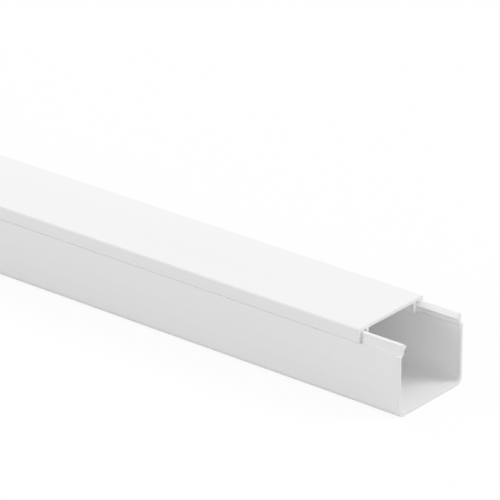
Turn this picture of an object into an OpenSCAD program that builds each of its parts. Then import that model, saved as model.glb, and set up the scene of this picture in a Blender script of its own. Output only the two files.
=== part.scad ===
// Cable trunking: a U-shaped extruded channel with a clip-on lid, in one stock length.
// X runs along the length, Y across the channel and Z up from the underside of its floor.
// The lid lies clipped on, slid back a little from the +X end so that the lips show.

/* [Stock] */
// Outside width of the channel, and of the lid that lies flush with it
channel_w = 50; // [40:1:100]
// Height over the closed lid
overall_h = 40; // [30:1:80]
// Length of the channel
channel_l = 2000; // [500:50:3000]
// Length of the lid
lid_l = 2000; // [500:50:3000]
// How far the lid's end lies back from the channel's +X end
lid_setback = 24; // [0:1:200]

/* [Channel] */
// Thickness of the two side walls
wall_t = 1.8; // [1.4:0.1:2.2]
// Thickness of the floor
floor_t = 1.8; // [1.4:0.1:2.6]
// Outside radius where the walls turn into the floor; the inside is half a wall tighter
corner_r = 4; // [2.4:0.1:6]

/* [Clip lip] */
// Thickness of the upright neck that carries the hook
neck_t = 1.7; // [1.4:0.1:2.2]
// How far the hook's nose stands in from the neck
nose_reach = 2.4; // [1.9:0.1:3]
// Height of the nose above the shoulder
nose_rise = 3.8; // [3.3:0.1:4.4]
// Height of the hook's root on the neck, above the shoulder
root_rise = 1.8; // [1.4:0.1:2.4]
// Width of the flat crown that the lid rests on
crown_w = 0.7; // [0.4:0.1:1]
// Width of the bevel from that crown to the lip's outer face
bevel_w = 0.9; // [0.6:0.1:1.2]
// Height of that bevel
bevel_drop = 0.4; // [0.2:0.1:0.8]
// How far below the shoulder the wall starts to thicken inwards
haunch_drop = 1.5; // [1:0.1:3]
// How far above the shoulder that thickening runs out into the neck
haunch_rise = 0.3; // [0.1:0.1:0.6]
// Rounding of the nose
nose_r = 0.4; // [0.2:0.1:0.6]

/* [Lid] */
// Thickness of the lid's top
lid_t = 1.8; // [1.4:0.1:2.4]
// Height of the lid's outer skirts, from its top face down
skirt_h = 7.4; // [6.6:0.1:9]
// Thickness of the skirts
skirt_t = 1.4; // [1.1:0.1:1.8]
// Rounding of the lid's long top edges
lid_corner_r = 1.2; // [0.6:0.1:1.6]
// Thickness of the inner legs
leg_t = 1.4; // [1:0.1:2]
// How far each leg's barb hooks in under the nose
catch_w = 1.4; // [0.8:0.1:1.6]
// Height of the sloping lead-in from the barb's tip down to the leg's foot
lead_drop = 2; // [1.4:0.1:2.8]
// Rounding of the barb's tip
barb_r = 0.25; // [0.15:0.05:0.4]

/* [Fit] */
// Seam between the skirt's lower edge and the shoulder
seam_gap = 0.15; // [0.1:0.05:0.8]
// Clearance between the skirt and the lip's outer face
side_gap = 0.3; // [0.2:0.1:0.6]
// Clearance between the leg and the nose
nose_gap = 0.2; // [0.2:0.1:0.6]
// Clearance, measured upright, between the barb and the underside of the hook
catch_gap = 0.4; // [0.3:0.1:0.8]

/* [Edges] */
// Rounding of the long outer edges
edge_r = 0.3; // [0.1:0.1:0.5]
// Fillet in the inner corners of both sections
root_r = 0.3; // [0.1:0.1:0.3]

/* [Hidden] */
$fn = 48;

PVC_WHITE = [0.93, 0.93, 0.925];

// How far a corner's rounding cut runs past that corner
sliver_past = edge_r / 2;

// Half the width: depths below are measured in from this outer face.
half_w = channel_w / 2;

// Levels
lid_under = overall_h - lid_t;
skirt_z = overall_h - skirt_h;
shoulder_z = skirt_z - seam_gap;
root_z = shoulder_z + root_rise;
nose_z = shoulder_z + nose_rise;

// Depths of the lip, from the outer face inwards
ledge_d = skirt_t + side_gap;
bevel_d = ledge_d + bevel_w;
crown_d = bevel_d + crown_w;
neck_d = ledge_d + neck_t;
nose_d = neck_d + nose_reach;

// The barb's upper face runs parallel to the underside of the hook, to a thousandth.
hook_slope = (nose_z - root_z) / nose_reach;
leg_d = nose_d + nose_gap;
tip_d = nose_d - catch_w;
barb_z = thousandth(nose_z + hook_slope * nose_gap - catch_gap);
tip_z = thousandth(barb_z - hook_slope * (leg_d - tip_d));
foot_z = tip_z - lead_drop;

// Corners of the right half of each section as [across, up, rounding], counter-clockwise.
channel_half = [
    [half_w, 0, corner_r],
    [half_w, shoulder_z, edge_r],
    [half_w - ledge_d, shoulder_z, root_r],
    [half_w - ledge_d, lid_under - bevel_drop, edge_r],
    [half_w - bevel_d, lid_under, edge_r],
    [half_w - crown_d, lid_under, edge_r],
    [half_w - nose_d, nose_z, nose_r],
    [half_w - neck_d, root_z, root_r],
    [half_w - neck_d, shoulder_z + haunch_rise, edge_r],
    [half_w - wall_t, shoulder_z - haunch_drop, root_r],
    [half_w - wall_t, floor_t, corner_r - wall_t / 2]
];

lid_half = [
    [half_w - leg_d - leg_t, lid_under, root_r],
    [half_w - leg_d - leg_t, foot_z, edge_r],
    [half_w - leg_d, foot_z, edge_r],
    [half_w - tip_d, tip_z, barb_r],
    [half_w - leg_d, barb_z, root_r],
    [half_w - leg_d, lid_under, root_r],
    [half_w - skirt_t, lid_under, root_r],
    [half_w - skirt_t, skirt_z, edge_r],
    [half_w, skirt_z, edge_r],
    [half_w, overall_h, lid_corner_r]
];

// The whole outline: a right half followed by its mirror image.
function both_halves(half) = concat(
    half,
    [for (i = [len(half) - 1 : -1 : 0]) [-half[i][0], half[i][1], half[i][2]]]
);

function thousandth(v) = round(v * 1000) / 1000;

function point(corner) = [corner[0], corner[1]];

function unit(v) = v / norm(v);

// True where the outline turns left, so that the material's own corner sticks out there.
function sticks_out(p, before, after) =
    (p.x - before.x) * (after.y - p.y) - (p.y - before.y) * (after.x - p.x) > 0;

// The sliver between a sharp corner and the arc that rounds it, drawn from that corner.
// It runs a little past the corner, so that it cuts or joins cleanly there.
module corner_sliver(p, before, after, r) {
    u = unit(before - p);
    v = unit(after - p);
    inward = unit(u + v);
    half_angle = acos(u * v) / 2;
    run = r / tan(half_angle);
    translate(p)
        difference() {
            polygon([-inward * sliver_past, u * run, v * run]);
            translate(inward * r / sin(half_angle))
                circle(r);
        }
}

// The slivers of all corners that stick out, or of all that turn in.
module slivers(corners, outward) {
    n = len(corners);
    for (i = [0 : n - 1]) {
        p = point(corners[i]);
        before = point(corners[(i + n - 1) % n]);
        after = point(corners[(i + 1) % n]);
        if (sticks_out(p, before, after) == outward)
            corner_sliver(p, before, after, corners[i][2]);
    }
}

// An outline with each of its corners rounded by that corner's own radius.
module rounded_outline(corners) {
    difference() {
        union() {
            polygon([for (c = corners) point(c)]);
            slivers(corners, false);
        }
        slivers(corners, true);
    }
}

// A section drawn in Y and Z, extruded along X between two stations.
module extrusion(x_start, x_end) {
    translate([x_start, 0, 0])
        rotate([90, 0, 90])
            linear_extrude(x_end - x_start)
                children();
}

module channel() {
    color(PVC_WHITE)
        extrusion(-channel_l / 2, channel_l / 2)
            rounded_outline(both_halves(channel_half));
}

module lid() {
    lid_end = channel_l / 2 - lid_setback;
    color(PVC_WHITE)
        extrusion(lid_end - lid_l, lid_end)
            rounded_outline(both_halves(lid_half));
}

channel();
lid();
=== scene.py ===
"""White PVC cable trunking: an open channel and the clip-on lid that slides along it.

Both sections are drawn from the sizes of the solids, swept along X with finely stepped roundings
and trimmed ends, and dressed in extruded and in saw-cut PVC.
"""
import logging
import math
from abc import ABC, abstractmethod
from dataclasses import dataclass, field
from enum import Enum
from typing import Any, ClassVar, Mapping, NamedTuple, Optional, Sequence, Union

import bpy
from mathutils import Matrix, Vector


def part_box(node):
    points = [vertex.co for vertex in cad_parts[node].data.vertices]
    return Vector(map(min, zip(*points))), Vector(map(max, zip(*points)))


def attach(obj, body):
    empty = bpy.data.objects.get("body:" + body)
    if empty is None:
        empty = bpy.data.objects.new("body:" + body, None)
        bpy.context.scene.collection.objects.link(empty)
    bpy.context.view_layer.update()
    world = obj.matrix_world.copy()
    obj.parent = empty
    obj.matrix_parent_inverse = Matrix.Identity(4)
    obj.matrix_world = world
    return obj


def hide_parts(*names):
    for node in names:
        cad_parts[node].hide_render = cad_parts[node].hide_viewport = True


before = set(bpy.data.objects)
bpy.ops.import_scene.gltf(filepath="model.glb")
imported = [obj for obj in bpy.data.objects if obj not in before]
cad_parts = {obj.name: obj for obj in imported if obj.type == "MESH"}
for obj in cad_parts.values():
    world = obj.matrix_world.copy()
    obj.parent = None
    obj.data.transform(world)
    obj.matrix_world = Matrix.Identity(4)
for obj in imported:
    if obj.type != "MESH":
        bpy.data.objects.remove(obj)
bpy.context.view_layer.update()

LOG = logging.getLogger("cable_trunking")

# Metres in a millimetre.
MM = 0.001
QUARTER_TURN = math.pi / 2
# Side of the photograph's square frame, in pixels.
IMAGE_SIDE = 500

# A socket's place, identifier or name.
SocketKey = Union[int, str]
# Red, green, blue and opacity.
Colour = tuple[float, float, float, float]
# Depth in from the outer face, level and rounding of a section's corner, in millimetres.
HalfCorner = tuple[float, float, float]


class Body(Enum):
    """The two rigid bodies of the trunking, each of one node."""

    CHANNEL = "channel"
    LID = "lid"


class Slot(Enum):
    """Material slots of the record."""

    WHITE_PVC = "white_pvc"


class SweepInput(Enum):
    """Named inputs of the tree that sweeps a section."""

    SECTION = "Section"
    START = "Start"
    END = "End"
    TRIM = "Trim"
    ARC_CHORD = "Arc Chord"
    FEWEST_ARC_STEPS = "Fewest Arc Steps"
    STATIONS = "Stations"
    WALL_FINISH = "Wall Finish"
    END_FINISH = "End Finish"


class Signal:
    """An output socket that can be used in Python expressions on values."""

    def __init__(self, graph: "NodeGraph", socket: bpy.types.NodeSocket) -> None:
        """Wraps an output socket of a node in a graph."""
        self.graph = graph
        self.socket = socket

    def other(self, name: str) -> "Signal":
        """Another output of the same node, by its name."""
        return Signal(self.graph, self.socket.node.outputs[name])

    def _math(self, operation: str, first: Any, second: Any) -> "Signal":
        """The value of a Math node on two numbers or signals."""
        return self.graph.node("ShaderNodeMath", {"operation": operation}, {0: first, 1: second})

    def __add__(self, other: Any) -> "Signal":
        """This value plus another."""
        return self._math("ADD", self, other)

    def __radd__(self, other: Any) -> "Signal":
        """A number plus this value."""
        return self._math("ADD", other, self)

    def __sub__(self, other: Any) -> "Signal":
        """This value less another."""
        return self._math("SUBTRACT", self, other)

    def __rsub__(self, other: Any) -> "Signal":
        """A number less this value."""
        return self._math("SUBTRACT", other, self)

    def __mul__(self, other: Any) -> "Signal":
        """This value times another."""
        return self._math("MULTIPLY", self, other)

    def __rmul__(self, other: Any) -> "Signal":
        """A number times this value."""
        return self._math("MULTIPLY", other, self)

    def __truediv__(self, other: Any) -> "Signal":
        """This value divided by another."""
        return self._math("DIVIDE", self, other)

    def __rtruediv__(self, other: Any) -> "Signal":
        """A number divided by this value."""
        return self._math("DIVIDE", other, self)

    def __neg__(self) -> "Signal":
        """This value with its sign turned."""
        return self._math("SUBTRACT", 0.0, self)

    def __abs__(self) -> "Signal":
        """This value without its sign."""
        return self.larger(-self)

    def larger(self, other: Any) -> "Signal":
        """The larger of this value and another."""
        return self._math("MAXIMUM", self, other)


class NodeGraph:
    """A node tree that grows by one method."""

    def __init__(self, tree: bpy.types.NodeTree) -> None:
        """Takes over a shader or geometry tree."""
        self.tree = tree

    @staticmethod
    def _socket(sockets: Any, key: SocketKey) -> bpy.types.NodeSocket:
        """A socket by its place, its identifier or its name.

        Args:
            sockets: A node's inputs or outputs.
            key: Place, identifier or name.

        Returns:
            The socket.
        """
        if isinstance(key, int):
            return sockets[key]
        for socket in sockets:
            if socket.identifier == key:
                return socket
        return sockets[key]

    def node(
        self,
        kind: str,
        settings: Optional[Mapping[str, Any]] = None,
        sockets: Optional[Mapping[SocketKey, Any]] = None,
        output: SocketKey = 0,
    ) -> Optional[Signal]:
        """Adds a node.

        Args:
            kind: The node's type.
            settings: Its properties, set first.
            sockets: Values or signals of its inputs.
            output: The output that is wanted.

        Returns:
            That output, or None from a node that has none.
        """
        made = self.tree.nodes.new(kind)
        for name, value in (settings or {}).items():
            setattr(made, name, value)
        for key, value in (sockets or {}).items():
            socket = self._socket(made.inputs, key)
            if isinstance(value, Signal):
                self.tree.links.new(value.socket, socket)
            else:
                socket.default_value = value
        if not len(made.outputs):
            return None
        return Signal(self, self._socket(made.outputs, output))


def blank_material(name: str) -> tuple[bpy.types.Material, NodeGraph]:
    """A new material with an empty tree.

    Args:
        name: The material's name.

    Returns:
        The material, and the graph of its tree.
    """
    material = bpy.data.materials.new(name)
    material.use_nodes = True
    material.node_tree.nodes.clear()
    return material, NodeGraph(material.node_tree)


@dataclass(frozen=True)
class Streaks:
    """Noise that is drawn out along the length.

    Attributes:
        along: Its scale along the length, per metre.
        across: Its scale across the length, per metre.
        detail: Octaves of the noise.
        roughness: Strength of the finer octaves.
    """

    along: float
    across: float
    detail: float
    roughness: float

    def values(self, place: Signal) -> Signal:
        """The noise over a surface.

        Args:
            place: Object coordinates.

        Returns:
            The noise, from 0 to 1.
        """
        drawn_out = place.graph.node("ShaderNodeMapping", sockets={
            "Vector": place, "Scale": (self.along, self.across, self.across)})
        return place.graph.node("ShaderNodeTexNoise", sockets={
            "Vector": drawn_out, "Scale": 1.0, "Detail": self.detail, "Roughness": self.roughness})


@dataclass(frozen=True)
class ExtrudedPvc:
    """Satin white rigid PVC as it leaves the die.

    Fine, shallow die lines run along its length, and a slower drift changes its tone and gloss.

    Attributes:
        name: The material's name.
        pale: Its lightest colour.
        shade: Its darkest colour.
        ior: Its index of refraction.
        smoothest: Its lowest roughness.
        roughness_spread: How far its roughness rises above that.
        die_lines: The fine lines.
        line_depth: Their depth, in metres.
        relief: Strength of their relief.
        drift: The slow change of tone and gloss.
        lines_in_tone: The die lines' share in the tone.
        lines_in_gloss: The die lines' share in the gloss.
    """

    name: str = "extruded_pvc"
    pale: Colour = (0.97, 0.97, 0.97, 1.0)
    shade: Colour = (0.88, 0.88, 0.88, 1.0)
    ior: float = 1.53
    smoothest: float = 0.34
    roughness_spread: float = 0.12
    die_lines: Streaks = Streaks(along=1.2, across=900.0, detail=3.0, roughness=0.6)
    line_depth: float = 0.03 * MM
    relief: float = 0.7
    drift: Streaks = Streaks(along=3.0, across=22.0, detail=2.0, roughness=0.5)
    lines_in_tone: float = 0.45
    lines_in_gloss: float = 0.4

    def material(self) -> bpy.types.Material:
        """Makes the finish.

        Returns:
            The material.
        """
        material, graph = blank_material(self.name)
        place = graph.node("ShaderNodeTexCoord", output="Object")
        lines = self.die_lines.values(place)
        drift = self.drift.values(place)
        tone = graph.node("ShaderNodeMix", {"data_type": "RGBA"}, {
            "Factor_Float": drift * (1.0 - self.lines_in_tone) + lines * self.lines_in_tone,
            "A_Color": self.shade, "B_Color": self.pale}, output="Result_Color")
        gloss = drift * (1.0 - self.lines_in_gloss) + lines * self.lines_in_gloss
        relief = graph.node("ShaderNodeBump", sockets={
            "Strength": self.relief, "Distance": self.line_depth, "Height": lines})
        surface = graph.node("ShaderNodeBsdfPrincipled", sockets={
            "Base Color": tone, "Roughness": self.smoothest + gloss * self.roughness_spread,
            "IOR": self.ior, "Normal": relief})
        graph.node("ShaderNodeOutputMaterial", sockets={"Surface": surface})
        return material


@dataclass(frozen=True)
class SawnPvc:
    """The same PVC where a saw has cut it: matt, with the fine arcs of the blade and torn specks.

    Attributes:
        name: The material's name.
        pale: Its lightest colour.
        shade: Its darkest colour.
        ior: Its index of refraction.
        smoothest: Its lowest roughness.
        roughness_spread: How far its roughness rises above that.
        blade_radius: Radius of the saw blade, in metres.
        blade_aside: How far the blade's middle lies to the side, as a share of its radius.
        arc_pitch: Distance from arc to arc, in metres.
        arc_wander: How far the arcs stray from true circles.
        wander_detail: Octaves of that straying.
        wander_scale: Its scale, against the arcs' own.
        speck_size: Size of the torn specks, in metres.
        speck_detail: Octaves of the specks.
        specks_in_wear: The specks' share in the wear.
        wear_depth: Depth of arcs and specks, in metres.
        relief: Strength of their relief.
    """

    # The ring wave turns by this much, in radians, over a unit of length at a scale of 1.
    WAVE_TURN: ClassVar[float] = 20.0

    name: str = "sawn_pvc"
    pale: Colour = (0.95, 0.95, 0.95, 1.0)
    shade: Colour = (0.86, 0.86, 0.86, 1.0)
    ior: float = 1.53
    smoothest: float = 0.6
    roughness_spread: float = 0.15
    blade_radius: float = 127.0 * MM
    blade_aside: float = 0.4
    arc_pitch: float = 0.45 * MM
    arc_wander: float = 2.5
    wander_detail: float = 2.0
    wander_scale: float = 0.4
    speck_size: float = 0.8 * MM
    speck_detail: float = 3.0
    specks_in_wear: float = 0.5
    wear_depth: float = 0.03 * MM
    relief: float = 0.5

    def material(self) -> bpy.types.Material:
        """Makes the finish.

        Returns:
            The material.
        """
        material, graph = blank_material(self.name)
        place = graph.node("ShaderNodeTexCoord", output="Object")
        from_blade = graph.node("ShaderNodeMapping", sockets={
            "Vector": place,
            "Location": (0.0, self.blade_aside * self.blade_radius, self.blade_radius)})
        arcs = graph.node(
            "ShaderNodeTexWave",
            {"wave_type": "RINGS", "rings_direction": "X", "wave_profile": "SAW"},
            {"Vector": from_blade, "Scale": math.tau / (self.WAVE_TURN * self.arc_pitch),
             "Distortion": self.arc_wander, "Detail": self.wander_detail,
             "Detail Scale": self.wander_scale},
            output="Fac")
        specks = graph.node("ShaderNodeTexNoise", sockets={
            "Vector": place, "Scale": 1.0 / self.speck_size, "Detail": self.speck_detail})
        wear = arcs * (1.0 - self.specks_in_wear) + specks * self.specks_in_wear
        tone = graph.node("ShaderNodeMix", {"data_type": "RGBA"}, {
            "Factor_Float": wear, "A_Color": self.shade, "B_Color": self.pale}, output="Result_Color")
        relief = graph.node("ShaderNodeBump", sockets={
            "Strength": self.relief, "Distance": self.wear_depth, "Height": wear})
        surface = graph.node("ShaderNodeBsdfPrincipled", sockets={
            "Base Color": tone, "Roughness": self.smoothest + wear * self.roughness_spread,
            "IOR": self.ior, "Normal": relief})
        graph.node("ShaderNodeOutputMaterial", sockets={"Surface": surface})
        return material


class Corner(NamedTuple):
    """A corner of a section, in metres: across, up, and the radius that rounds it."""

    across: float
    up: float
    rounding: float


class SweptSection:
    """Geometry Nodes tree that rounds a section's corners and sweeps it along X."""

    # Attributes that carry a corner's radius, and the way out of the section.
    ROUNDING = "rounding"
    OUTWARD = "outward"
    # The sweep first runs along its own axis, and is then turned onto X, with the section's up on Z.
    AXIS = (0.0, 0.0, 1.0)
    ONTO_X = (QUARTER_TURN, 0.0, QUARTER_TURN)
    # Edges that turn by more than this stay sharp.
    SHARP_ANGLE = math.radians(30.0)
    # Faces that look along X by more than this are cut by the saw.
    END_FACING = 0.5
    # Socket types of the named inputs.
    SOCKETS = {
        SweepInput.SECTION: "NodeSocketGeometry",
        SweepInput.START: "NodeSocketFloat",
        SweepInput.END: "NodeSocketFloat",
        SweepInput.TRIM: "NodeSocketFloat",
        SweepInput.ARC_CHORD: "NodeSocketFloat",
        SweepInput.FEWEST_ARC_STEPS: "NodeSocketInt",
        SweepInput.STATIONS: "NodeSocketInt",
        SweepInput.WALL_FINISH: "NodeSocketMaterial",
        SweepInput.END_FINISH: "NodeSocketMaterial",
    }

    def __init__(self) -> None:
        """Builds the tree and its named inputs."""
        self.tree = bpy.data.node_groups.new("swept_section", "GeometryNodeTree")
        face = self.tree.interface
        self.keys = {
            item: face.new_socket(item.value, in_out="INPUT", socket_type=kind).identifier
            for item, kind in self.SOCKETS.items()
        }
        face.new_socket("Extrusion", in_out="OUTPUT", socket_type="NodeSocketGeometry")
        self.graph = NodeGraph(self.tree)
        self._wire()

    def _level(self, z: Any) -> Signal:
        """The point of the sweep's axis at a station."""
        return self.graph.node("ShaderNodeCombineXYZ", sockets={"Z": z})

    def _compare(self, operation: str, kind: str, first: Any, second: Any) -> Signal:
        """A Compare node.

        Args:
            operation: The comparison.
            kind: FLOAT or INT.
            first: A number or a signal.
            second: A number or a signal.

        Returns:
            True where the comparison holds.
        """
        ending = "_INT" if kind == "INT" else ""
        return self.graph.node(
            "FunctionNodeCompare", {"data_type": kind, "operation": operation},
            {"A" + ending: first, "B" + ending: second})

    def _rounded(self, section: Signal, chord: Signal, fewest: Signal) -> Signal:
        """The section as a closed curve with rounded corners, which knows which way is out.

        Args:
            section: The polyline with its roundings.
            chord: Length of an arc's steps.
            fewest: The fewest steps of any arc.

        Returns:
            The curve.
        """
        graph = self.graph
        curve = graph.node("GeometryNodeMeshToCurve", sockets={"Mesh": section})
        rounding = graph.node(
            "GeometryNodeInputNamedAttribute", {"data_type": "FLOAT"}, {"Name": self.ROUNDING})
        steps = (rounding * QUARTER_TURN / chord).larger(fewest)
        filleted = graph.node("GeometryNodeFilletCurve", {"mode": "POLY"}, {
            "Curve": curve, "Count": steps, "Radius": rounding, "Limit Radius": True})
        tangent = graph.node("GeometryNodeInputTangent")
        outward = graph.node(
            "ShaderNodeVectorMath", {"operation": "CROSS_PRODUCT"}, {0: tangent, 1: self.AXIS})
        return graph.node(
            "GeometryNodeStoreNamedAttribute", {"data_type": "FLOAT_VECTOR", "domain": "POINT"},
            {"Geometry": filleted, "Name": self.OUTWARD, "Value": outward})

    def _path(self, start: Signal, end: Signal, trim: Signal, stations: Signal) -> Signal:
        """The sweep's stations: evenly spaced, with one just inside each end.

        Args:
            start: The first station.
            end: The last station.
            trim: Distance of the stations inside the ends.
            stations: Their number.

        Returns:
            The path.
        """
        graph = self.graph
        line = graph.node("GeometryNodeCurvePrimitiveLine", {"mode": "POINTS"}, {
            "Start": self._level(start), "End": self._level(end)})
        path = graph.node("GeometryNodeResampleCurve", {"mode": "COUNT"}, {
            "Curve": line, "Count": stations})
        index = graph.node("GeometryNodeInputIndex")
        for place, z in ((1, start + trim), (stations - 2.0, end - trim)):
            path = graph.node("GeometryNodeSetPosition", sockets={
                "Geometry": path, "Position": self._level(z),
                "Selection": self._compare("EQUAL", "INT", index, place)})
        return path

    def _trimmed(self, swept: Signal, start: Signal, end: Signal, trim: Signal) -> Signal:
        """The sweep with its end edges broken by a small bevel.

        Args:
            swept: The sweep.
            start: The first station.
            end: The last station.
            trim: Width of the bevel.

        Returns:
            The trimmed sweep.
        """
        graph = self.graph
        place = graph.node("GeometryNodeInputPosition")
        station = graph.node("ShaderNodeSeparateXYZ", sockets={"Vector": place}, output="Z")
        outward = graph.node(
            "GeometryNodeInputNamedAttribute", {"data_type": "FLOAT_VECTOR"}, {"Name": self.OUTWARD})
        inset = graph.node(
            "ShaderNodeVectorMath", {"operation": "SCALE"}, {0: outward, "Scale": -trim})
        for chosen in (
            self._compare("LESS_THAN", "FLOAT", station, start + trim / 2.0),
            self._compare("GREATER_THAN", "FLOAT", station, end - trim / 2.0),
        ):
            swept = graph.node("GeometryNodeSetPosition", sockets={
                "Geometry": swept, "Selection": chosen, "Offset": inset})
        return swept

    def _shaded(self, laid: Signal) -> Signal:
        """The sweep, smooth over its roundings and sharp at its edges.

        Args:
            laid: The sweep.

        Returns:
            The shaded sweep.
        """
        smooth = self.graph.node("GeometryNodeSetShadeSmooth", {"domain": "FACE"}, {
            "Geometry": laid, "Shade Smooth": True})
        angle = self.graph.node("GeometryNodeInputMeshEdgeAngle")
        return self.graph.node("GeometryNodeSetShadeSmooth", {"domain": "EDGE"}, {
            "Geometry": smooth, "Shade Smooth": False,
            "Selection": self._compare("GREATER_THAN", "FLOAT", angle, self.SHARP_ANGLE)})

    def _finished(self, shaded: Signal, wall_finish: Signal, end_finish: Signal) -> Signal:
        """The sweep as real geometry in its two finishes.

        Args:
            shaded: The sweep.
            wall_finish: Material of the extruded faces.
            end_finish: Material of the cut ends and their trimmed edges.

        Returns:
            The finished sweep.
        """
        graph = self.graph
        plain = graph.node("GeometryNodeRealizeInstances", sockets={"Geometry": shaded})
        walls = graph.node("GeometryNodeSetMaterial", sockets={
            "Geometry": plain, "Material": wall_finish})
        facing = graph.node("GeometryNodeInputNormal")
        along = graph.node("ShaderNodeSeparateXYZ", sockets={"Vector": facing}, output="X")
        return graph.node("GeometryNodeSetMaterial", sockets={
            "Geometry": walls, "Material": end_finish,
            "Selection": self._compare("GREATER_THAN", "FLOAT", abs(along), self.END_FACING)})

    def _wire(self) -> None:
        """Wires the whole tree."""
        graph = self.graph
        inputs = graph.node("NodeGroupInput")
        given = {item: inputs.other(item.value) for item in SweepInput}
        start = given[SweepInput.START]
        end = given[SweepInput.END]
        trim = given[SweepInput.TRIM]
        profile = self._rounded(
            given[SweepInput.SECTION], given[SweepInput.ARC_CHORD], given[SweepInput.FEWEST_ARC_STEPS])
        path = self._path(start, end, trim, given[SweepInput.STATIONS])
        swept = graph.node("GeometryNodeCurveToMesh", sockets={
            "Curve": path, "Profile Curve": profile, "Fill Caps": True})
        trimmed = self._trimmed(swept, start, end, trim)
        laid = graph.node("GeometryNodeTransform", sockets={
            "Geometry": trimmed, "Rotation": self.ONTO_X})
        finished = self._finished(
            self._shaded(laid), given[SweepInput.WALL_FINISH], given[SweepInput.END_FINISH])
        graph.node("NodeGroupOutput", sockets={0: finished})

    def _polyline(self, name: str, corners: Sequence[Corner]) -> bpy.types.Object:
        """A closed polyline of a section's corners, with their roundings.

        Args:
            name: The polyline's name.
            corners: The section.

        Returns:
            The polyline, in the scene.
        """
        count = len(corners)
        mesh = bpy.data.meshes.new(name)
        mesh.from_pydata(
            [(c.across, c.up, 0.0) for c in corners],
            [(i, (i + 1) % count) for i in range(count)], [])
        rounding = mesh.attributes.new(self.ROUNDING, "FLOAT", "POINT")
        rounding.data.foreach_set("value", [c.rounding for c in corners])
        line = bpy.data.objects.new(name, mesh)
        bpy.context.scene.collection.objects.link(line)
        return line

    def mesh(
        self, name: str, corners: Sequence[Corner], inputs: Mapping[SweepInput, Any],
    ) -> bpy.types.Mesh:
        """Sweeps a section.

        Args:
            name: The mesh's name.
            corners: The section.
            inputs: Values of the tree's named inputs.

        Returns:
            The swept mesh.
        """
        line = self._polyline(name + "_section", corners)
        modifier = line.modifiers.new("sweep", "NODES")
        modifier.node_group = self.tree
        for item, value in inputs.items():
            modifier[self.keys[item]] = value
        normals = line.modifiers.new("flat_faces", "WEIGHTED_NORMAL")
        normals.keep_sharp = True
        depsgraph = bpy.context.evaluated_depsgraph_get()
        made = bpy.data.meshes.new_from_object(
            line.evaluated_get(depsgraph), preserve_all_data_layers=True, depsgraph=depsgraph)
        made.name = name
        section = line.data
        bpy.data.objects.remove(line)
        bpy.data.meshes.remove(section)
        for attribute in (self.ROUNDING, self.OUTWARD):
            if attribute in made.attributes:
                made.attributes.remove(made.attributes[attribute])
        return made


@dataclass(frozen=True)
class ClipFit:
    """Sizes that the channel and the lid share where they clip together, in millimetres.

    Attributes:
        width: Outside width of the channel, and of the lid that lies flush with it.
        height: Height over the closed lid.
        lid_top: Thickness of the lid's top.
        skirt: Thickness of the lid's outer skirts.
        skirt_h: Their height, from the lid's top face down.
        seam_gap: Seam between a skirt's lower edge and the shoulder.
        side_gap: Clearance between a skirt and the lip's outer face.
        edge_r: Rounding of the long outer edges.
        root_r: Fillet in the inner corners.
    """

    width: float = 50.0
    height: float = 40.0
    lid_top: float = 1.8
    skirt: float = 1.4
    skirt_h: float = 7.4
    seam_gap: float = 0.15
    side_gap: float = 0.3
    edge_r: float = 0.3
    root_r: float = 0.3

    @property
    def lid_under(self) -> float:
        """Level of the lid's underside, where it rests on the lips."""
        return self.height - self.lid_top

    @property
    def skirt_z(self) -> float:
        """Level of the skirts' lower edges."""
        return self.height - self.skirt_h

    @property
    def shoulder_z(self) -> float:
        """Level of the shoulders under the skirts."""
        return self.skirt_z - self.seam_gap

    @property
    def ledge_d(self) -> float:
        """Depth of the lip's outer face, from the channel's outer face inwards."""
        return self.skirt + self.side_gap


@dataclass
class Extrusion(ABC):
    """A length of extruded PVC that stands for one node, with its cut edges trimmed.

    Attributes:
        fit: Sizes that both pieces share.
        trim: Width of the bevel on the cut edges, in metres.
        arc_chord: Length of the steps of a rounding, in metres.
        fewest_arc_steps: The fewest steps of any rounding.
        stations: Cross sections along the length.
        piece: The finished object.
    """

    # The body that the piece rides on, whose one node it replaces, and the piece's name.
    BODY: ClassVar[Body]
    PIECE: ClassVar[str]

    fit: ClipFit = ClipFit()
    trim: float = 0.15 * MM
    arc_chord: float = 0.2 * MM
    fewest_arc_steps: int = 5
    stations: int = 42
    piece: Optional[bpy.types.Object] = field(default=None, init=False)

    @abstractmethod
    def half_outline(self) -> list[HalfCorner]:
        """The right half of the section.

        Returns:
            Depth in from the outer face, level and rounding of each corner, in millimetres,
            counter-clockwise.
        """

    def outline(self) -> list[Corner]:
        """The whole section: its right half and the mirror image.

        Returns:
            Its corners, in metres, counter-clockwise.
        """
        half_width = self.fit.width / 2
        right = [Corner((half_width - d) * MM, z * MM, r * MM) for d, z, r in self.half_outline()]
        left = [Corner(-c.across, c.up, c.rounding) for c in reversed(right)]
        return right + left

    def build(self, sweep: SweptSection, wall: bpy.types.Material, end: bpy.types.Material) -> None:
        """Makes the piece between the ends of its node, in its two finishes.

        Args:
            sweep: The tree that sweeps sections.
            wall: Finish of the extruded faces.
            end: Finish of the saw-cut ends.
        """
        low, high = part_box(self.BODY.value)
        mesh = sweep.mesh(self.PIECE, self.outline(), {
            SweepInput.START: low.x,
            SweepInput.END: high.x,
            SweepInput.TRIM: self.trim,
            SweepInput.ARC_CHORD: self.arc_chord,
            SweepInput.FEWEST_ARC_STEPS: self.fewest_arc_steps,
            SweepInput.STATIONS: self.stations,
            SweepInput.WALL_FINISH: wall,
            SweepInput.END_FINISH: end,
        })
        self.piece = bpy.data.objects.new(self.PIECE, mesh)
        bpy.context.scene.collection.objects.link(self.piece)

    def dress(self) -> None:
        """Puts the piece in its node's place, where the node is hidden, and on its body."""
        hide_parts(self.BODY.value)
        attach(self.piece, self.BODY.value)


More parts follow.
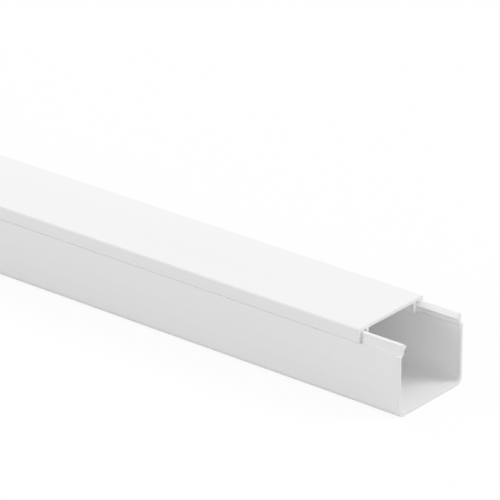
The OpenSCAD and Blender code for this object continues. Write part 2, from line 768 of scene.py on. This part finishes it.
@dataclass
class Channel(Extrusion):
    """The open channel, whose walls end in clip lips. Its sizes are in millimetres.

    Attributes:
        wall: Thickness of the side walls.
        floor: Thickness of the floor.
        corner_r: Outside radius where the walls turn into the floor.
        neck: Thickness of the upright neck that carries the hook.
        nose_reach: How far the hook's nose stands in from the neck.
        nose_rise: Height of the nose above the shoulder.
        nose_r: Rounding of the nose.
        root_rise: Height of the hook's root on the neck, above the shoulder.
        crown: Width of the flat crown that the lid rests on.
        bevel_w: Width of the bevel from the crown to the lip's outer face.
        bevel_drop: Height of that bevel.
        haunch_drop: How far below the shoulder the wall starts to thicken inwards.
        haunch_rise: How far above the shoulder it runs out into the neck.
    """

    BODY: ClassVar[Body] = Body.CHANNEL
    PIECE: ClassVar[str] = "trunking_channel"

    wall: float = 1.8
    floor: float = 1.8
    corner_r: float = 4.0
    neck: float = 1.7
    nose_reach: float = 2.4
    nose_rise: float = 3.8
    nose_r: float = 0.4
    root_rise: float = 1.8
    crown: float = 0.7
    bevel_w: float = 0.9
    bevel_drop: float = 0.4
    haunch_drop: float = 1.5
    haunch_rise: float = 0.3

    @property
    def neck_d(self) -> float:
        """Depth of the neck's inner face, from the channel's outer face inwards."""
        return self.fit.ledge_d + self.neck

    @property
    def nose_d(self) -> float:
        """Depth of the hook's nose."""
        return self.neck_d + self.nose_reach

    @property
    def nose_z(self) -> float:
        """Level of the hook's nose."""
        return self.fit.shoulder_z + self.nose_rise

    @property
    def hook_slope(self) -> float:
        """Rise over run of the hook's underside."""
        return (self.nose_rise - self.root_rise) / self.nose_reach

    def half_outline(self) -> list[HalfCorner]:
        """The right half of the channel's section.

        Returns:
            Depth, level and rounding of each corner.
        """
        fit = self.fit
        bevel_d = fit.ledge_d + self.bevel_w
        return [
            (0.0, 0.0, self.corner_r),
            (0.0, fit.shoulder_z, fit.edge_r),
            (fit.ledge_d, fit.shoulder_z, fit.root_r),
            (fit.ledge_d, fit.lid_under - self.bevel_drop, fit.edge_r),
            (bevel_d, fit.lid_under, fit.edge_r),
            (bevel_d + self.crown, fit.lid_under, fit.edge_r),
            (self.nose_d, self.nose_z, self.nose_r),
            (self.neck_d, fit.shoulder_z + self.root_rise, fit.root_r),
            (self.neck_d, fit.shoulder_z + self.haunch_rise, fit.edge_r),
            (self.wall, fit.shoulder_z - self.haunch_drop, fit.root_r),
            (self.wall, self.floor, self.corner_r - self.wall / 2),
        ]


@dataclass
class Lid(Extrusion):
    """The lid, whose barbed legs catch under the channel's lips. Its sizes are in millimetres.

    Attributes:
        channel: The channel that it clips on.
        corner_r: Rounding of its long top edges.
        leg: Thickness of the inner legs.
        catch: How far a leg's barb hooks in under the nose.
        lead_drop: Height of the sloping lead-in, from the barb's tip down to the leg's foot.
        barb_r: Rounding of the barb's tip.
        nose_gap: Clearance between the leg and the nose.
        catch_gap: Clearance, measured upright, between the barb and the hook's underside.
    """

    BODY: ClassVar[Body] = Body.LID
    PIECE: ClassVar[str] = "trunking_lid"

    channel: Channel = field(default_factory=Channel)
    corner_r: float = 1.2
    leg: float = 1.4
    catch: float = 1.4
    lead_drop: float = 2.0
    barb_r: float = 0.25
    nose_gap: float = 0.2
    catch_gap: float = 0.4

    def half_outline(self) -> list[HalfCorner]:
        """The right half of the lid's section, with the barb parallel to the hook above it.

        Returns:
            Depth, level and rounding of each corner.
        """
        fit = self.fit
        slope = self.channel.hook_slope
        leg_d = self.channel.nose_d + self.nose_gap
        barb_z = self.channel.nose_z + slope * self.nose_gap - self.catch_gap
        tip_z = barb_z - slope * (self.nose_gap + self.catch)
        foot_z = tip_z - self.lead_drop
        return [
            (leg_d + self.leg, fit.lid_under, fit.root_r),
            (leg_d + self.leg, foot_z, fit.edge_r),
            (leg_d, foot_z, fit.edge_r),
            (self.channel.nose_d - self.catch, tip_z, self.barb_r),
            (leg_d, barb_z, fit.root_r),
            (leg_d, fit.lid_under, fit.root_r),
            (fit.skirt, fit.lid_under, fit.root_r),
            (fit.skirt, fit.skirt_z, fit.edge_r),
            (0.0, fit.skirt_z, fit.edge_r),
            (0.0, fit.height, self.corner_r),
        ]


@dataclass
class PhotoCamera:
    """The camera of the photograph, fitted to the trunking's edges.

    Attributes:
        focal_px: Focal length, in pixels of the photograph.
        azimuth: Turn about Z from looking along +Y, in degrees.
        elevation: Height above the horizon, in degrees.
        roll: Turn about the line of sight, in degrees.
        aim_right: How far right of the picture's middle the channel's near end lies, in metres.
        aim_up: How far above the picture's middle it lies, in metres.
        distance: Distance from it along the line of sight, in metres.
        sensor: Width of the sensor, in millimetres.
        nearest: Nearest distance that shows, in metres.
        farthest: Farthest distance that shows, in metres.
    """

    focal_px: float = 3840.3
    azimuth: float = 39.67
    elevation: float = 24.157
    roll: float = -0.237
    aim_right: float = 86.002 * MM
    aim_up: float = -72.097 * MM
    distance: float = 1829.7 * MM
    sensor: float = 36.0
    nearest: float = 0.05
    farthest: float = 200.0

    def build(self, near_end: float) -> None:
        """Makes the camera and puts it to use.

        Args:
            near_end: Where the channel's near end lies along X.
        """
        azimuth, elevation, roll = map(math.radians, (self.azimuth, self.elevation, self.roll))
        back = Vector((
            math.sin(azimuth) * math.cos(elevation),
            -math.cos(azimuth) * math.cos(elevation),
            math.sin(elevation)))
        level = Vector((math.cos(azimuth), math.sin(azimuth), 0.0))
        upright = back.cross(level)
        right = math.cos(roll) * level + math.sin(roll) * upright
        up = math.cos(roll) * upright - math.sin(roll) * level
        place = Vector((near_end, 0.0, 0.0))
        place += back * self.distance - right * self.aim_right - up * self.aim_up
        data = bpy.data.cameras.new("photo_camera")
        data.sensor_width = self.sensor
        data.lens = self.focal_px / IMAGE_SIDE * self.sensor
        data.clip_start = self.nearest
        data.clip_end = self.farthest
        camera = bpy.data.objects.new("photo_camera", data)
        camera.matrix_world = Matrix((
            (right.x, up.x, back.x, place.x),
            (right.y, up.y, back.y, place.y),
            (right.z, up.z, back.z, place.z),
            (0.0, 0.0, 0.0, 1.0)))
        bpy.context.scene.collection.objects.link(camera)
        bpy.context.scene.camera = camera


@dataclass
class SoftLamp:
    """A wide, distant studio lamp, which lights the whole length alike.

    Attributes:
        name: The lamp's name.
        towards: Direction from the trunking to the lamp.
        spread: How wide the lamp looks from the trunking, in degrees.
        strength: Its strength, in watts per square metre.
        in_reflections: Whether faces mirror it; where not, flat faces show no glare.
    """

    name: str
    towards: tuple[float, float, float]
    spread: float
    strength: float
    in_reflections: bool = True

    def build(self) -> None:
        """Makes the lamp."""
        data = bpy.data.lights.new(self.name, "SUN")
        data.angle = math.radians(self.spread)
        data.energy = self.strength
        lamp = bpy.data.objects.new(self.name, data)
        lamp.location = self.towards
        lamp.rotation_euler = Vector(self.towards).to_track_quat("Z", "Y").to_euler()
        lamp.visible_glossy = self.in_reflections
        bpy.context.scene.collection.objects.link(lamp)


@dataclass
class Studio:
    """White floor and surroundings, and four soft lamps: above, in front, behind and at the end.

    Attributes:
        white: Colour of the floor and the surroundings as they are seen.
        seen_strength: Their strength as they are seen, at which white is white.
        floor_colour: Colour of the floor as it lights the trunking.
        floor_side: Side of the floor, in metres.
        shadow_share: Share of the floor's seen colour that takes shadows.
        ambient: Strength of the surroundings as light.
        diffuse_bounces: Bounces of light between dull faces, enough for the deep white channel.
        lamps: The lamps.
    """

    white: Colour = (1.0, 1.0, 1.0, 1.0)
    seen_strength: float = 1.0
    floor_colour: Colour = (0.62, 0.62, 0.62, 1.0)
    floor_side: float = 120.0
    shadow_share: float = 0.1
    ambient: float = 0.514
    diffuse_bounces: int = 12
    lamps: list[SoftLamp] = field(default_factory=lambda: [
        SoftLamp("overhead_lamp", towards=(-2.4, -0.4, 4.0), spread=35.0, strength=0.339),
        SoftLamp(
            "front_lamp", towards=(-3.2, -4.6, 1.6), spread=29.0, strength=0.701, in_reflections=False),
        SoftLamp(
            "back_lamp", towards=(2.6, 2.4, 3.6), spread=28.0, strength=1.263, in_reflections=False),
        SoftLamp(
            "end_lamp", towards=(4.2, -1.4, 0.9), spread=20.0, strength=0.266, in_reflections=False),
    ])

    @staticmethod
    def _seen_directly(graph: NodeGraph) -> Signal:
        """A mask of the rays that show the background.

        Args:
            graph: The graph that asks.

        Returns:
            1 on camera, glossy and transmission rays, and 0 on the others.
        """
        camera = graph.node("ShaderNodeLightPath", output="Is Camera Ray")
        glossy = camera.other("Is Glossy Ray")
        transmission = camera.other("Is Transmission Ray")
        return camera.larger(glossy).larger(transmission)

    def _floor_finish(self) -> bpy.types.Material:
        """The floor's finish: pale as light, and white to look at, with a soft shadow.

        Returns:
            The material.
        """
        material, graph = blank_material("white_floor")
        pale = graph.node("ShaderNodeBsdfDiffuse", sockets={"Color": self.floor_colour})
        bright = graph.node("ShaderNodeEmission", sockets={
            "Color": self.white, "Strength": self.seen_strength})
        shaded = graph.node("ShaderNodeBsdfDiffuse", sockets={"Color": self.white})
        seen = graph.node("ShaderNodeMixShader", sockets={0: self.shadow_share, 1: bright, 2: shaded})
        surface = graph.node("ShaderNodeMixShader", sockets={
            0: self._seen_directly(graph), 1: pale, 2: seen})
        graph.node("ShaderNodeOutputMaterial", sockets={"Surface": surface})
        return material

    def _floor(self) -> None:
        """Lays the floor, level with the channel's underside."""
        half = self.floor_side / 2
        mesh = bpy.data.meshes.new("studio_floor")
        mesh.from_pydata(
            [(-half, -half, 0.0), (half, -half, 0.0), (half, half, 0.0), (-half, half, 0.0)],
            [], [(0, 1, 2, 3)])
        mesh.materials.append(self._floor_finish())
        floor = bpy.data.objects.new("studio_floor", mesh)
        bpy.context.scene.collection.objects.link(floor)

    def _world(self) -> None:
        """Makes the surroundings: white to look at, and softer as light."""
        world = bpy.data.worlds.new("studio_world")
        world.use_nodes = True
        world.node_tree.nodes.clear()
        graph = NodeGraph(world.node_tree)
        soft = graph.node("ShaderNodeBackground", sockets={
            "Color": self.white, "Strength": self.ambient})
        bright = graph.node("ShaderNodeBackground", sockets={
            "Color": self.white, "Strength": self.seen_strength})
        sky = graph.node("ShaderNodeMixShader", sockets={
            0: self._seen_directly(graph), 1: soft, 2: bright})
        graph.node("ShaderNodeOutputWorld", sockets={"Surface": sky})
        bpy.context.scene.world = world

    def build(self) -> None:
        """Makes the floor, the surroundings and the lamps."""
        bpy.context.scene.view_settings.view_transform = "Standard"
        bpy.context.scene.cycles.diffuse_bounces = self.diffuse_bounces
        self._floor()
        self._world()
        for lamp in self.lamps:
            lamp.build()


def main() -> None:
    """Builds the camera, the studio and the trunking, and reports each piece."""
    logging.basicConfig(level=logging.INFO, format="%(name)s: %(message)s")
    near_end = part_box(Body.CHANNEL.value)[1].x
    PhotoCamera().build(near_end)
    Studio().build()
    sweep = SweptSection()
    wall = ExtrudedPvc().material()
    end = SawnPvc().material()
    channel = Channel()
    lid = Lid(channel=channel)
    for extrusion in (channel, lid):
        extrusion.build(sweep, wall, end)
        extrusion.dress()
        mesh = extrusion.piece.data
        LOG.info("%s: %d faces, %d finishes", extrusion.PIECE, len(mesh.polygons), len(mesh.materials))


if __name__ == "__main__":
    main()
